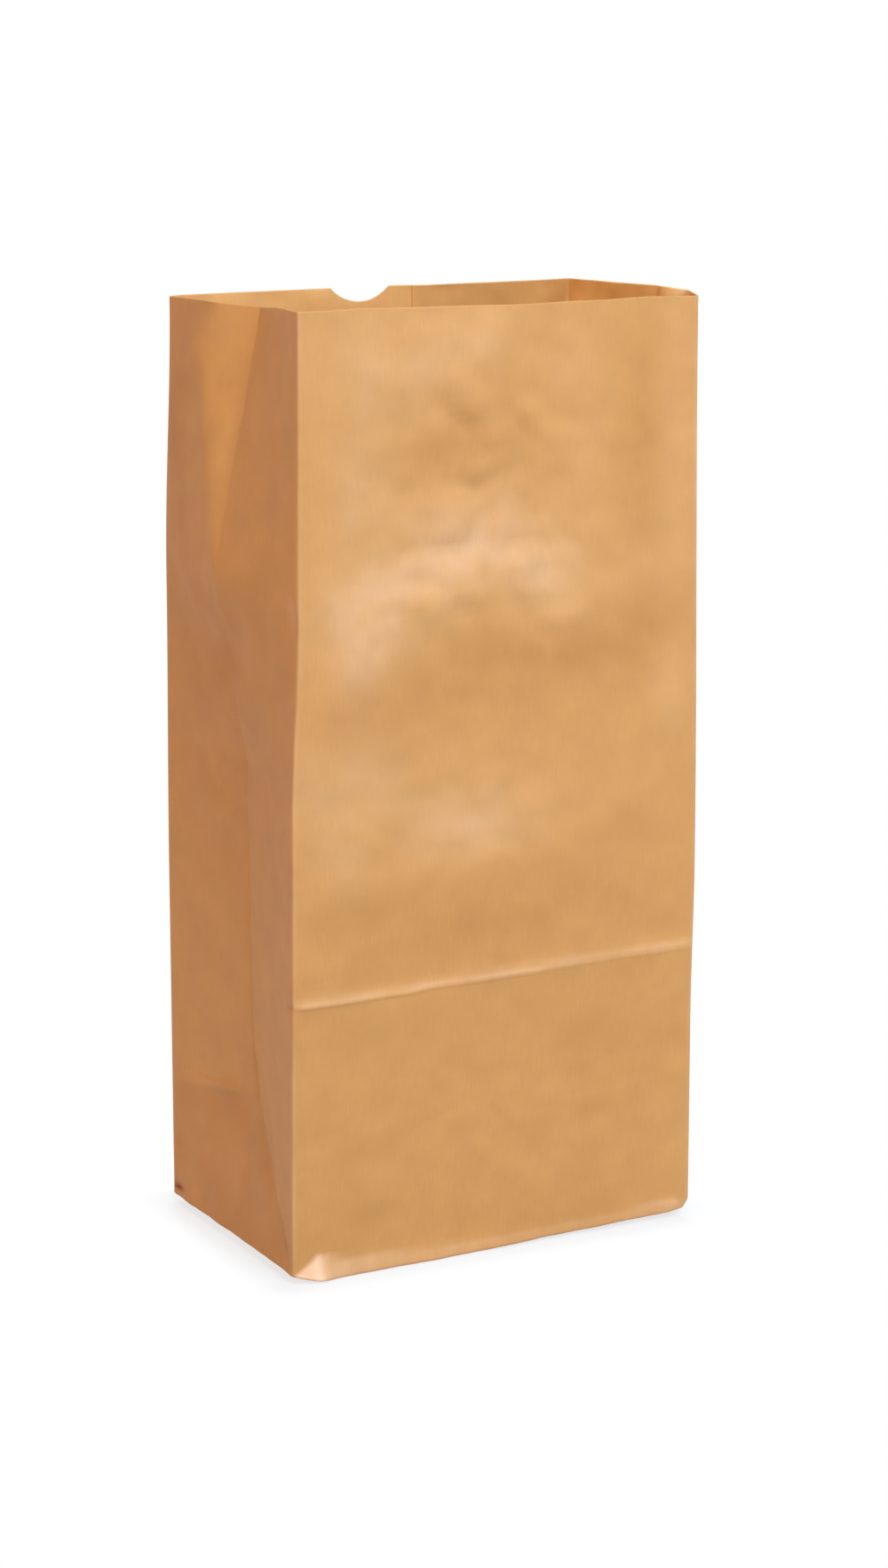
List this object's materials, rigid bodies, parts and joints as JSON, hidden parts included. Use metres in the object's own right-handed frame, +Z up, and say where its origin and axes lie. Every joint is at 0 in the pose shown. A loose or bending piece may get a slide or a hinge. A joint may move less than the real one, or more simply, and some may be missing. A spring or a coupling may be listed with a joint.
{
  "type": "paper lunch bag",
  "caption": "Brown kraft paper lunch bag standing open, with creased side gussets, a folded flat base and a thumb notch in the back edge.",
  "frame": {"origin": "middle of the flat base, on the surface the bag stands on", "axes": "+Z up to the open mouth, front panel towards -Y, thumb notch in the back panel towards +Y"},
  "size_m": [0.1423, 0.0857, 0.272],
  "materials": {
    "kraft_paper": "matt"
  },
  "bodies": {
    "root": {"paper_bag": "kraft_paper"}
  },
  "joints": []
}
